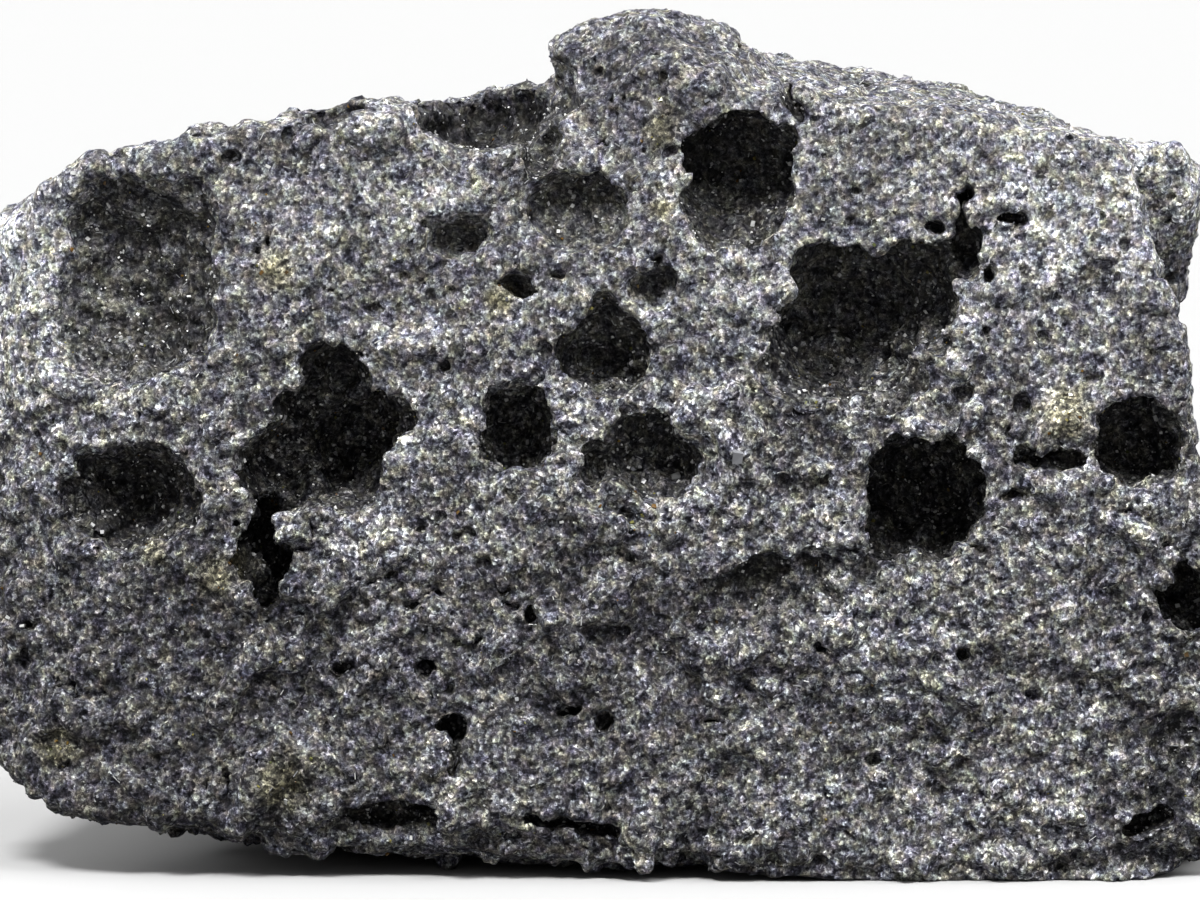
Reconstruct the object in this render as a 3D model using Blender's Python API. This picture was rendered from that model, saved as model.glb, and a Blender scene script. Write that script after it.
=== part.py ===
"""A hand specimen of vesicular basalt, one solid lump of lava rock.

The lump broke off along flattish fracture faces, so its body is the union of three
faceted hulls: the main block, a corner that stands out behind it at the upper right,
and a knob on top. Gas bubbles froze in the lava, and wherever a fracture crossed one
it left a round hollow. One node, basalt_stone. Metres, +Z up. The broad broken face
looks along -Y, the longest extent is along X, and the stone rests on a worn flat at
z = 0 with its origin at the middle of its footprint.
"""

import math

import bmesh
import bpy
from mathutils import Matrix, Vector

# ---- driving dimensions, in millimetres until MM turns them into metres ----
MM = 0.001

# Corners of the main block (x, y, z). The front face lies near y = -28.
BLOCK_CORNERS = (
    # top edge of the front face, left to right
    (-45.0, -20.0, 49.6), (-42.2, -24.0, 53.4), (-36.8, -26.5, 56.0), (-22.8, -27.0, 57.9),
    (-15.7, -26.5, 59.3), (0.0, -26.5, 59.8), (15.0, -27.5, 59.6), (30.0, -28.0, 57.7),
    (39.4, -27.5, 56.2),
    # right edge of the front face, downwards
    (41.6, -28.5, 47.8), (44.2, -28.5, 39.5), (46.8, -28.0, 30.0), (48.0, -27.5, 16.0),
    (48.2, -26.0, 2.2),
    # lower edge of the front face, right to left
    (40.0, -27.0, -0.6), (25.5, -27.0, -0.4), (13.8, -27.5, 1.4), (0.0, -27.5, 2.4),
    (-10.5, -27.5, 4.2), (-26.6, -27.0, 4.6), (-39.5, -26.0, 4.8), (-44.0, -24.5, 7.2),
    # left flank
    (-47.8, -22.0, 11.0), (-48.9, -18.0, 19.0), (-48.9, -17.0, 28.0), (-47.8, -15.0, 41.0),
    (-49.0, 6.0, 45.0), (-47.0, 14.0, 22.0),
    # crown, rising to a ridge at the right and falling away at the left
    (14.0, 12.0, 61.0), (24.0, 14.0, 58.8), (34.0, 14.0, 56.4), (40.0, 12.0, 54.6),
    (-4.0, 12.0, 57.0), (-20.0, 16.0, 52.5), (-40.0, 14.0, 47.5),
    # back, with its bulge at mid height
    (-32.0, 27.0, 38.0), (-24.0, 30.0, 22.0), (12.0, 31.0, 46.0), (18.0, 32.0, 22.0),
    (38.0, 27.0, 36.0), (43.0, 24.0, 12.0), (-36.0, 22.0, 9.0),
    # right flank
    (45.5, 2.0, 34.0), (47.5, -2.0, 12.0),
    # underside, ground off later by the rest face
    (-13.0, -9.0, -1.2), (8.0, -9.0, -1.2), (20.0, -20.0, -1.2), (40.0, -22.0, -1.2),
    (43.0, 16.0, -1.2), (12.0, 27.0, -1.2), (-18.0, 22.0, -1.2),
)

# The corner that stands out at the upper right, behind the front face.
SHOULDER_CORNERS = (
    (49.8, 12.0, 52.2), (49.4, 20.0, 45.0), (48.0, 8.0, 39.0), (49.2, 6.0, 50.0),
    (47.0, 3.0, 54.8), (44.0, 24.0, 53.4), (48.4, 21.0, 51.6), (34.0, 4.0, 55.4),
    (34.0, 24.0, 54.4), (36.0, 10.0, 34.0), (42.0, 22.0, 36.0),
)

# The step between the front face and the shoulder: this wedge of rock is missing.
STEP_CORNERS = (
    (41.0, -23.5, 62.0), (43.2, -23.5, 46.0), (46.0, -23.5, 37.0), (48.4, -22.0, 31.0),
    (36.5, -8.0, 62.0), (38.5, -8.0, 46.0), (42.5, -8.0, 36.0), (46.5, -8.0, 31.0),
    (42.0, 2.0, 62.0), (43.0, 2.0, 46.0), (45.5, 2.0, 36.0),
    (60.0, -23.5, 62.0), (60.0, 2.0, 62.0), (60.0, -22.0, 31.0), (60.0, 2.0, 33.0),
)

# The knob on the top edge, undercut on its left side.
KNOB_CORNERS = (
    (-4.6, -19.0, 62.8), (-3.4, -20.0, 64.6), (-0.5, -18.0, 65.7), (5.0, -17.0, 65.8),
    (8.4, -17.0, 65.0), (11.2, -17.0, 63.4), (13.8, -17.0, 61.4), (14.6, -16.0, 58.4),
    (-3.4, -21.0, 61.0), (-1.4, -24.0, 56.0), (14.0, -25.0, 57.0), (15.0, -8.0, 57.0),
    (-1.4, -9.0, 56.0), (0.0, -11.0, 63.4), (9.0, -10.0, 62.4), (3.5, -25.6, 61.6),
    (10.0, -25.4, 60.0),
)

# Gas bubbles cut by the surface: (x, y, z), (half width, half depth, half height), and
# the tilt in degrees about X, then about Y.
FRONT_BUBBLES = (
    ((-35.3, -27.0, 47.0), (6.6, 3.6, 7.8), 12, 0),
    ((-35.6, -26.0, 29.9), (5.6, 4.0, 3.9), 0, 5),
    ((-19.9, -24.0, 37.8), (3.0, 6.0, 3.3), 0, 0),
    ((-18.6, -23.0, 33.8), (4.3, 6.5, 4.2), 0, 0),
    ((-23.4, -24.5, 31.6), (3.7, 5.0, 3.1), 0, 10),
    ((-14.9, -26.0, 34.9), (1.7, 2.6, 1.0), 0, 20),
    ((-24.8, -24.5, 24.6), (2.1, 5.0, 3.9), 0, 0),
    ((-10.4, -27.0, 49.4), (2.5, 2.4, 1.5), 0, 0),
    ((-6.0, -27.0, 45.4), (1.8, 2.2, 1.2), 0, 15),
    ((0.4, -26.4, 40.4), (3.6, 4.2, 3.8), 0, 0),
    ((3.9, -27.4, 45.6), (2.1, 1.8, 1.8), 0, 0),
    ((-6.2, -24.8, 34.6), (3.4, 4.4, 3.5), 0, 0),
    ((3.4, -26.2, 32.0), (4.6, 4.4, 3.9), 0, 10),
    ((10.4, -24.5, 54.0), (5.0, 6.0, 4.9), 0, 0),
    ((19.3, -24.5, 43.2), (7.4, 6.6, 6.5), 0, 0),
    ((27.4, -26.5, 48.6), (1.3, 3.6, 3.2), 0, 0),
    ((24.5, -24.5, 29.7), (5.1, 6.0, 5.3), 0, 0),
    ((33.8, -27.8, 32.2), (2.8, 1.8, 1.1), 0, 0),
    ((40.3, -26.0, 33.2), (3.5, 4.6, 3.9), 0, 0),
    ((44.6, -24.5, 21.8), (3.2, 4.6, 3.4), 0, 0),
    ((-11.2, -27.0, 11.4), (1.3, 2.2, 1.3), 0, 0),
    ((-1.5, -26.6, 51.2), (4.0, 3.6, 3.0), 0, 0),
    ((13.5, -28.4, 22.4), (7.2, 1.9, 2.0), 0, -11),
    ((-3.2, -27.0, 4.4), (3.4, 2.4, 0.9), 0, 4),
)
TOP_BUBBLES = (
    ((-20.0, -18.5, 58.6), (3.6, 5.0, 2.8), 0, 0),
    ((-8.6, -24.0, 58.8), (6.8, 9.2, 5.0), 0, 0),
    ((-33.0, -2.0, 52.6), (4.6, 4.2, 3.8), 0, 0),
    ((-24.0, 12.0, 53.2), (3.0, 3.4, 2.6), 0, 0),
    ((2.0, 2.0, 59.6), (4.4, 4.7, 3.6), 0, 0),
    ((20.5, -8.0, 60.6), (3.2, 3.0, 2.6), 0, 0),
    ((29.0, 5.0, 57.8), (4.6, 4.0, 3.6), 0, 0),
    ((-6.0, 15.0, 56.2), (3.4, 3.0, 3.0), 0, 0),
)
BACK_BUBBLES = (
    ((-30.0, 29.0, 30.0), (4.6, 4.6, 4.7), 0, 0),
    ((-12.0, 31.5, 40.0), (4.4, 5.0, 4.2), 0, 0),
    ((-17.0, 31.0, 17.0), (3.2, 4.0, 3.4), 0, 0),
    ((6.0, 31.5, 29.0), (6.8, 6.6, 6.2), 0, 0),
    ((14.0, 31.0, 44.0), (3.6, 4.4, 3.2), 0, 0),
    ((25.0, 30.5, 26.0), (4.6, 5.2, 5.0), 0, 0),
    ((33.0, 28.0, 40.0), (4.7, 5.0, 4.6), 0, 0),
    ((10.0, 31.5, 12.0), (3.4, 3.8, 3.0), 0, 0),
    ((-2.0, 29.0, 50.0), (2.6, 3.4, 2.4), 0, 0),
    ((36.0, 27.5, 14.0), (3.4, 4.4, 3.6), 0, 0),
    ((-34.0, 24.0, 14.0), (3.4, 4.0, 3.0), 0, 0),
)
SIDE_BUBBLES = (
    ((-48.5, -4.0, 33.0), (4.4, 5.6, 5.0), 0, 0),
    ((-46.0, 12.0, 40.0), (3.8, 3.6, 3.4), 0, 0),
    ((-46.5, 2.0, 16.0), (4.0, 4.2, 3.6), 0, 0),
    ((-46.0, 17.0, 24.0), (3.0, 3.4, 3.0), 0, 0),
    ((42.0, -10.0, 43.0), (3.4, 3.6, 3.8), 0, 0),
    ((47.5, -14.0, 14.0), (3.6, 4.4, 3.8), 0, 0),
    ((46.5, 4.0, 26.0), (4.6, 4.7, 4.7), 0, 0),
    ((49.0, 14.0, 48.0), (2.8, 3.4, 3.0), 0, 0),
    ((45.5, 17.0, 12.0), (3.6, 4.2, 3.4), 0, 0),
    ((-32.0, -2.0, 4.6), (4.6, 4.8, 3.0), 0, 0),
)

SURFACE_EDGE = 2.2  # spacing of the fracture faces' mesh before thinning
BODY_TRIANGLES = 2200  # on the fracture faces, before the bubbles are cut
STONE_TRIANGLES = 8800  # once the bubbles are cut
ROUNDING_PASSES = 4  # worn corners
UNDULATION = (13.0, 1.8)  # wavelength and strength of the broken faces' swell
RAGGEDNESS = (4.6, 0.9)  # the same for their finer, hackly break
LARGE_BUBBLE = 5.2  # half width above which a bubble gets the finer sphere
SLAB = (140.0, 110.0, 20.0)  # ground off below the rest face
FOOTPRINT_CENTRE = (0.0, 1.5, 0.0)  # of the stone's box, in the coordinates above

BASALT_GREY = (0.105, 0.105, 0.118, 1.0)


def rock_material(name, colour, roughness):
    material = bpy.data.materials.new(name)
    material.use_nodes = True
    shader = material.node_tree.nodes["Principled BSDF"]
    shader.inputs["Base Color"].default_value = colour
    shader.inputs["Roughness"].default_value = roughness
    shader.inputs["Metallic"].default_value = 0.0
    return material


def new_object(name, mesh, collection=None):
    thing = bpy.data.objects.new(name, mesh)
    (collection or bpy.context.scene.collection).objects.link(thing)
    thing.parent = bpy.data.objects["footprint"]
    return thing


def as_cutter(thing):
    thing.hide_render = True
    thing.display_type = "WIRE"
    return thing


def hull(name, corners):
    """The solid whose flat faces span the outermost of the corners."""
    shape = bmesh.new()
    for corner in corners:
        shape.verts.new(Vector(corner) * MM)
    result = bmesh.ops.convex_hull(shape, input=shape.verts)
    inside = [v for v in result["geom_interior"] if isinstance(v, bmesh.types.BMVert)]
    bmesh.ops.delete(shape, geom=inside, context="VERTS")
    bmesh.ops.recalc_face_normals(shape, faces=shape.faces)
    mesh = bpy.data.meshes.new(name)
    shape.to_mesh(mesh)
    shape.free()
    return new_object(name, mesh)


def bubble(name, centre, half_sizes, tilt_x, tilt_y, collection):
    """An ellipsoid the size of one gas bubble, to be cut from the rock."""
    shape = bmesh.new()
    fine = max(half_sizes) >= LARGE_BUBBLE
    bmesh.ops.create_icosphere(shape, subdivisions=3 if fine else 2, radius=1.0)
    turn = Matrix.Rotation(math.radians(tilt_y), 4, "Y") @ Matrix.Rotation(math.radians(tilt_x), 4, "X")
    size = Matrix.Diagonal((*(half * MM for half in half_sizes), 1.0))
    place = Matrix.Translation(Vector(centre) * MM)
    bmesh.ops.transform(shape, matrix=place @ turn @ size, verts=shape.verts)
    mesh = bpy.data.meshes.new(name)
    shape.to_mesh(mesh)
    shape.free()
    return as_cutter(new_object(name, mesh, collection))


def box(name, size, centre):
    shape = bmesh.new()
    bmesh.ops.create_cube(shape, size=1.0)
    place = Matrix.Translation(Vector(centre) * MM) @ Matrix.Diagonal((*(s * MM for s in size), 1.0))
    bmesh.ops.transform(shape, matrix=place, verts=shape.verts)
    mesh = bpy.data.meshes.new(name)
    shape.to_mesh(mesh)
    shape.free()
    return new_object(name, mesh)


def boolean(thing, operation, other):
    cut = thing.modifiers.new(f"{operation.lower()} {other.name}", "BOOLEAN")
    cut.operation = operation
    cut.solver = "EXACT"
    if isinstance(other, bpy.types.Collection):
        cut.operand_type = "COLLECTION"
        cut.collection = other
    else:
        cut.object = other


def swell(thing, name, wavelength, strength):
    """Push the surface in and out along its normals by soft noise."""
    grain = bpy.data.textures.new(name, "CLOUDS")
    grain.noise_scale = wavelength * MM
    grain.noise_depth = 1
    push = thing.modifiers.new(name, "DISPLACE")
    push.texture = grain
    push.texture_coords = "LOCAL"
    push.strength = strength * MM
    push.mid_level = 0.5


def broken_body():
    """The fracture faces: block, shoulder and knob in one skin, worn and hackly."""
    stone = hull("basalt_stone", BLOCK_CORNERS)
    boolean(stone, "DIFFERENCE", as_cutter(hull("step", STEP_CORNERS)))
    boolean(stone, "UNION", as_cutter(hull("shoulder", SHOULDER_CORNERS)))
    boolean(stone, "UNION", as_cutter(hull("knob", KNOB_CORNERS)))
    skin = stone.modifiers.new("even skin", "REMESH")
    skin.mode = "VOXEL"
    skin.voxel_size = SURFACE_EDGE * MM
    worn = stone.modifiers.new("worn corners", "SMOOTH")
    worn.factor = 0.5
    worn.iterations = ROUNDING_PASSES
    swell(stone, "undulation", *UNDULATION)
    swell(stone, "raggedness", *RAGGEDNESS)
    return stone


def thinned(stone, triangles):
    """Collapse the skin, as it is so far, to about this many triangles."""
    seen = stone.evaluated_get(bpy.context.evaluated_depsgraph_get())
    faces = seen.to_mesh()
    faces.calc_loop_triangles()
    count = len(faces.loop_triangles)
    seen.to_mesh_clear()
    thin = stone.modifiers.new("thinned", "DECIMATE")
    thin.ratio = min(1.0, triangles / count)


def build():
    for thing in list(bpy.data.objects):
        bpy.data.objects.remove(thing)

    footprint = bpy.data.objects.new("footprint", None)
    bpy.context.scene.collection.objects.link(footprint)
    footprint.location = -Vector(FOOTPRINT_CENTRE) * MM
    bpy.context.view_layer.update()

    stone = broken_body()
    thinned(stone, BODY_TRIANGLES)

    bubbles = bpy.data.collections.new("gas bubbles")
    bpy.context.scene.collection.children.link(bubbles)
    rows = FRONT_BUBBLES + TOP_BUBBLES + BACK_BUBBLES + SIDE_BUBBLES
    for number, (centre, half_sizes, tilt_x, tilt_y) in enumerate(rows, 1):
        bubble(f"bubble {number:02d}", centre, half_sizes, tilt_x, tilt_y, bubbles)
    boolean(stone, "DIFFERENCE", bubbles)
    thinned(stone, STONE_TRIANGLES)

    ground = as_cutter(box("ground", SLAB, (0.0, 0.0, -SLAB[2] / 2)))
    boolean(stone, "DIFFERENCE", ground)
    stone.modifiers.new("triangles", "TRIANGULATE")

    stone.data.materials.append(rock_material("basalt", BASALT_GREY, 0.9))


build()
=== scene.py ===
import copy
import math

import bmesh
import bpy
import numpy as np
import openvdb
from mathutils import Euler, Matrix, Vector


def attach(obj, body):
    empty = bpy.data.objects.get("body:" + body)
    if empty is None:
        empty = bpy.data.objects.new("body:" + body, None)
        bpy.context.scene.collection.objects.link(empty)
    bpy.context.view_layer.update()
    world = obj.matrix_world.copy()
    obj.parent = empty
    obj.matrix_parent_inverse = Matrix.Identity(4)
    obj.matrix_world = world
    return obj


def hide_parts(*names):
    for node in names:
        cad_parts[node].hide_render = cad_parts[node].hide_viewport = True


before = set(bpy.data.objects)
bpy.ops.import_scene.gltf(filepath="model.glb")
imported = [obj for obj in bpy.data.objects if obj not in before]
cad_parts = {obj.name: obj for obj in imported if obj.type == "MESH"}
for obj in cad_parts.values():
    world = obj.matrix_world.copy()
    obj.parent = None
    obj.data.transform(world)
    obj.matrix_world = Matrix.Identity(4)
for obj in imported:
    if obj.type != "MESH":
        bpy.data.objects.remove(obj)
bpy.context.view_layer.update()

# ---------------------------------------------------------------------------
# The broken lump. A block of cooled lava that split along flattish fracture faces:
# one lump with a corner standing out behind it at the upper right and a knob on top.
# It is hulls joined and cut, with corners in mm, then worn and swollen a little.
MM = 0.001
FOOTPRINT_CENTRE = (0.0, 1.5, 0.0)  # mm: what puts the footprint's middle on the origin
BLOCK_CORNERS = (
    # top edge of the front face, left to right
    (-45.0, -20.0, 49.4), (-42.2, -23.0, 52.8), (-36.8, -25.0, 55.1), (-22.8, -25.4, 57.0),
    (-15.7, -25.2, 58.7), (0.0, -25.4, 59.6), (15.0, -26.2, 59.6), (30.0, -26.6, 57.5),
    (39.4, -26.6, 55.8),
    # right edge of the front face, downwards
    (41.2, -28.3, 49.0), (42.6, -28.3, 42.0), (43.8, -28.3, 38.0), (44.0, -28.0, 33.4),
    (46.6, -27.6, 27.5), (48.0, -27.5, 16.0), (48.2, -26.0, 2.2),
    # lower edge of the front face, right to left
    (40.0, -27.0, -0.6), (25.5, -27.0, -0.4), (13.8, -27.5, 1.4), (0.0, -27.5, 2.4),
    (-10.5, -27.5, 4.2), (-26.6, -27.0, 4.6), (-39.5, -26.0, 4.8), (-44.0, -24.5, 7.2),
    # left flank
    (-47.8, -22.0, 11.0), (-48.9, -18.0, 19.0), (-48.9, -17.0, 28.0), (-47.8, -15.0, 41.0),
    (-49.0, 6.0, 45.0), (-47.0, 14.0, 22.0),
    # crown, rising to a ridge at the right and falling away at the left
    (14.0, 12.0, 61.9), (20.0, 13.0, 61.0), (25.0, 14.0, 58.8), (34.0, 14.0, 56.0),
    (40.0, 12.0, 54.2), (-4.0, 12.0, 56.6), (-20.0, 16.0, 52.0), (-40.0, 14.0, 47.0),
    # back, with its bulge at mid height
    (-32.0, 27.0, 38.0), (-24.0, 30.0, 22.0), (12.0, 31.0, 46.0), (18.0, 32.0, 22.0),
    (38.0, 27.0, 36.0), (43.0, 24.0, 12.0), (-36.0, 22.0, 9.0),
    # right flank
    (45.5, 2.0, 34.0), (47.5, -2.0, 12.0),
    # underside, worn flat at the rest face
    (-13.0, -9.0, -1.2), (8.0, -9.0, -1.2), (20.0, -20.0, -1.2), (40.0, -22.0, -1.2),
    (43.0, 16.0, -1.2), (12.0, 27.0, -1.2), (-18.0, 22.0, -1.2),
)
STEP_CORNERS = (
    (40.4, -25.0, 62.0), (42.3, -25.0, 46.0), (45.4, -25.0, 37.0), (48.2, -23.0, 31.0),
    (36.5, -8.0, 62.0), (38.5, -8.0, 46.0), (42.5, -8.0, 36.0), (46.5, -8.0, 31.0),
    (42.0, 2.0, 62.0), (43.0, 2.0, 46.0), (45.5, 2.0, 36.0),
    (60.0, -23.5, 62.0), (60.0, 2.0, 62.0), (60.0, -22.0, 31.0), (60.0, 2.0, 33.0),
)
SHOULDER_CORNERS = (
    (49.2, 12.0, 52.2), (49.0, 20.0, 45.0), (46.6, 8.0, 39.0), (48.3, 6.0, 50.0),
    (47.0, 3.0, 54.8), (44.0, 24.0, 53.4), (48.4, 21.0, 51.6), (34.0, 4.0, 55.4),
    (34.0, 24.0, 54.4), (36.0, 10.0, 34.0), (42.0, 22.0, 36.0),
)
KNOB_CORNERS = (
    (-4.2, -19.5, 62.4), (-3.2, -20.5, 64.0), (-0.5, -20.0, 65.2), (5.0, -19.5, 65.4),
    (8.4, -19.5, 64.6), (11.2, -19.0, 63.0), (13.6, -18.5, 61.0), (14.4, -17.0, 58.0),
    (-3.2, -22.0, 61.0), (-1.4, -24.0, 56.0), (14.0, -25.0, 57.0), (15.0, -8.0, 57.0),
    (-1.4, -9.0, 56.0), (0.0, -11.0, 63.0), (9.0, -10.0, 62.0), (3.5, -26.0, 61.6),
    (10.0, -25.8, 60.4),
)
SKIN_EDGE = 0.5  # mm: spacing of the fine skin drawn over the hulls
CORNER_WEAR = 14  # smoothing passes
WEAR_STEP = 0.5  # how far each pass goes
UNDULATION = (13.0, 1.8)  # mm: wavelength and strength of the broken faces' swell
RAGGEDNESS = (4.6, 0.9)  # the same for their finer waves


def hull(name, corners):
    """The tightest skin round the corners."""
    shape = bmesh.new()
    for corner in corners:
        shape.verts.new(Vector(corner) * MM)
    result = bmesh.ops.convex_hull(shape, input=shape.verts)
    inside = [v for v in result["geom_interior"] if isinstance(v, bmesh.types.BMVert)]
    bmesh.ops.delete(shape, geom=inside, context="VERTS")
    bmesh.ops.recalc_face_normals(shape, faces=shape.faces)
    mesh = bpy.data.meshes.new(name)
    shape.to_mesh(mesh)
    shape.free()
    thing = bpy.data.objects.new(name, mesh)
    bpy.context.scene.collection.objects.link(thing)
    return thing


def boolean(thing, operation, other):
    cut = thing.modifiers.new(other.name, "BOOLEAN")
    cut.operation = operation
    cut.solver = "EXACT"
    cut.object = other


def swell(thing, name, wavelength, strength):
    """Push the skin in and out in soft waves, by half the strength each way."""
    grain = bpy.data.textures.new(name, "CLOUDS")
    grain.noise_scale = wavelength * MM
    grain.noise_depth = 1
    push = thing.modifiers.new(name, "DISPLACE")
    push.texture = grain
    push.texture_coords = "LOCAL"
    push.strength = strength * MM
    push.mid_level = 0.5


def applied_mesh(thing):
    seen = thing.evaluated_get(bpy.context.evaluated_depsgraph_get())
    return bpy.data.meshes.new_from_object(seen)


lump = hull("lump", BLOCK_CORNERS)
parts = [hull("step", STEP_CORNERS), hull("shoulder", SHOULDER_CORNERS), hull("knob", KNOB_CORNERS)]
for part, operation in zip(parts, ("DIFFERENCE", "UNION", "UNION")):
    boolean(lump, operation, part)
skin = lump.modifiers.new("fine skin", "REMESH")
skin.mode = "VOXEL"
skin.voxel_size = SKIN_EDGE * MM
worn = lump.modifiers.new("worn corners", "SMOOTH")
worn.factor = WEAR_STEP
worn.iterations = CORNER_WEAR
swell(lump, "undulation", *UNDULATION)
swell(lump, "raggedness", *RAGGEDNESS)
lump_mesh = applied_mesh(lump)
for scrap in [lump] + parts:
    bpy.data.objects.remove(scrap)

# ---------------------------------------------------------------------------
# Gas bubbles. Round hollows left by gas in the lava, wherever a fracture crossed one;
# several run together. They are carved from a distance field of the lump, with walls
# that wander a little, so that their rims are ragged and never true circles.
VOXEL = 0.22  # mm between samples of the field
BAND = 7.0  # samples each side of the surface that hold a distance
MARGIN = 8  # samples of air left round the stone
WANDER = 0.11  # how far a wall wanders, as a share of the bubble's mean half size
WANDER_SPACING = 0.55  # spacing of that wander, as the same share
FINE_WANDER = 0.5  # a second, finer wander: its reach and its spacing, as shares of the first's
FINE_WANDER_SPACING = 0.35
# in mm and degrees: (centre), (half width, half depth, half height), tilt about X, then Y
FRONT_BUBBLES = (
    # the wide scoops of the left half
    ((-34.9, -25.3, 45.7), (6.6, 3.8, 8.2), 6, 0),
    ((-31.6, -26.5, 48.6), (3.3, 3.8, 4.8), 0, 0),
    ((-31.8, -26.5, 42.4), (3.0, 3.2, 4.4), 0, 8),
    ((-38.0, -24.6, 49.8), (3.4, 2.8, 3.8), 6, 0),
    ((-37.6, -24.4, 42.0), (3.8, 2.6, 4.6), 0, 0),
    ((-35.7, -25.4, 29.0), (5.6, 4.8, 4.3), -8, 5),
    # the deep joined group
    ((-20.0, -24.0, 37.3), (3.2, 6.4, 3.6), 0, 0),
    ((-19.7, -23.4, 32.5), (4.3, 8.2, 5.0), 0, 0),
    ((-17.4, -22.6, 34.2), (3.2, 7.0, 3.2), 0, 0),
    ((-23.5, -24.0, 31.2), (4.0, 7.0, 3.8), 0, 6),
    ((-21.8, -23.6, 35.1), (2.7, 6.4, 2.7), 0, 0),
    ((-15.6, -25.0, 35.2), (2.3, 3.6, 1.7), 0, 18),
    ((-25.4, -22.4, 24.4), (2.7, 7.6, 4.6), 6, 0),
    # the small hollows of the middle
    ((-10.5, -26.2, 49.0), (2.6, 2.6, 1.7), -30, 0),
    ((-11.8, -27.7, 45.8), (3.4, 1.5, 2.5), -20, 0),
    ((-6.2, -26.4, 45.4), (1.8, 2.6, 1.1), -20, 15),
    ((-3.2, -27.2, 45.9), (0.9, 1.6, 0.6), 0, 10),
    ((0.4, -25.8, 40.0), (3.5, 4.6, 3.6), -25, 0),
    ((0.2, -26.2, 42.4), (1.7, 3.4, 2.2), -20, 0),
    ((3.9, -27.2, 45.2), (2.2, 1.6, 2.0), -20, 0),
    ((4.1, -26.8, 47.2), (0.8, 1.8, 0.6), 0, 0),
    ((-6.1, -24.6, 34.2), (3.4, 4.8, 3.8), -14, 0),
    ((3.9, -26.2, 32.2), (4.0, 4.2, 3.5), -30, 10),
    ((-0.3, -26.0, 31.6), (1.6, 2.8, 2.0), 0, 0),
    ((3.4, -27.6, 28.6), (3.1, 1.8, 1.9), -20, 0),
    ((-1.4, -26.2, 50.8), (4.0, 2.2, 3.2), -20, 0),
    ((10.2, -23.8, 54.2), (5.0, 4.8, 4.3), -24, 0),
    ((10.3, -24.6, 52.2), (4.8, 3.8, 5.0), -28, 0),
    ((13.6, -26.2, 56.2), (1.2, 2.0, 1.0), 0, -20),
    ((14.2, -24.6, 60.0), (0.7, 4.6, 3.2), 0, -24),
    # the widest one, its right lobe, and the slot above that
    ((18.9, -24.2, 42.8), (6.3, 6.4, 6.9), -16, 0),
    ((23.6, -25.4, 44.4), (3.4, 4.6, 4.4), -15, 0),
    ((15.6, -26.8, 40.2), (4.0, 2.5, 4.4), -20, 12),
    ((20.6, -27.2, 38.2), (4.6, 2.2, 2.8), -24, 0),
    ((26.0, -26.4, 47.2), (1.8, 3.0, 1.6), 0, 0),
    ((25.6, -27.0, 40.7), (1.2, 2.4, 0.7), 0, 0),
    ((27.1, -26.0, 51.9), (1.15, 3.2, 1.05), 0, 0),
    ((27.0, -26.2, 50.0), (0.75, 2.8, 2.0), 0, 0),
    ((27.6, -26.4, 47.7), (1.3, 3.4, 2.2), 0, 0),
    ((25.1, -27.4, 49.6), (0.8, 1.5, 0.5), 0, 10),
    ((30.8, -27.4, 50.3), (1.2, 1.7, 0.5), 0, 8),
    ((29.2, -27.5, 46.0), (0.6, 1.6, 0.9), 0, 0),
    ((18.7, -27.5, 49.9), (0.35, 1.4, 0.6), 0, 20),
    # the right half
    ((24.3, -24.0, 29.3), (5.5, 6.6, 6.0), -6, 0),
    ((22.2, -24.8, 27.6), (3.6, 5.0, 3.4), 0, 0),
    ((33.8, -27.0, 32.3), (3.0, 2.9, 1.35), 0, 0),
    ((31.6, -27.6, 29.6), (1.7, 1.5, 0.5), 0, -15),
    ((40.2, -26.0, 33.4), (3.7, 4.8, 4.1), -12, 0),
    ((37.6, -28.4, 44.4), (2.7, 1.5, 2.8), -10, 0),
    ((44.3, -24.5, 22.2), (3.3, 4.8, 3.6), 0, 0),
    # pea-sized and smaller, low on the face
    ((-11.2, -26.6, 11.6), (1.3, 2.6, 1.2), 0, 0),
    ((-11.2, -27.2, 9.6), (0.9, 1.6, 1.7), 0, 0),
    ((-13.2, -26.8, 16.2), (1.1, 2.0, 0.75), 0, -35),
    ((-16.6, -27.0, 23.0), (1.8, 1.5, 0.5), 0, -25),
    ((-13.4, -26.8, 21.4), (1.9, 1.9, 0.9), 0, -15),
    ((-6.8, -27.2, 21.0), (0.9, 1.3, 0.35), 0, 10),
    ((-5.2, -27.2, 20.4), (0.45, 1.3, 0.8), 0, 20),
    ((-20.6, -27.2, 10.3), (0.8, 1.4, 0.45), 0, 15),
    ((-2.3, -27.2, 13.2), (1.0, 1.4, 0.5), 0, -8),
    ((0.3, -27.2, 12.2), (0.7, 1.6, 0.9), 0, 20),
    ((8.6, -27.3, 12.3), (1.0, 1.4, 0.3), 0, 0),
    ((16.6, -27.8, 17.9), (0.6, 1.6, 0.6), 0, 0),
    ((18.8, -28.0, 20.1), (0.7, 1.6, 0.5), 0, 20),
    ((19.9, -28.0, 21.9), (0.8, 1.6, 0.5), 0, 30),
    ((27.4, -28.0, 17.4), (0.5, 1.4, 0.5), 0, 0),
    ((-15.0, -26.2, 5.0), (4.6, 2.6, 1.2), 0, 0),
    ((-2.2, -26.8, 4.4), (4.4, 2.2, 0.8), 0, 10),
    ((41.4, -26.6, 4.4), (1.8, 2.6, 0.7), 0, -20),
)
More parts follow.
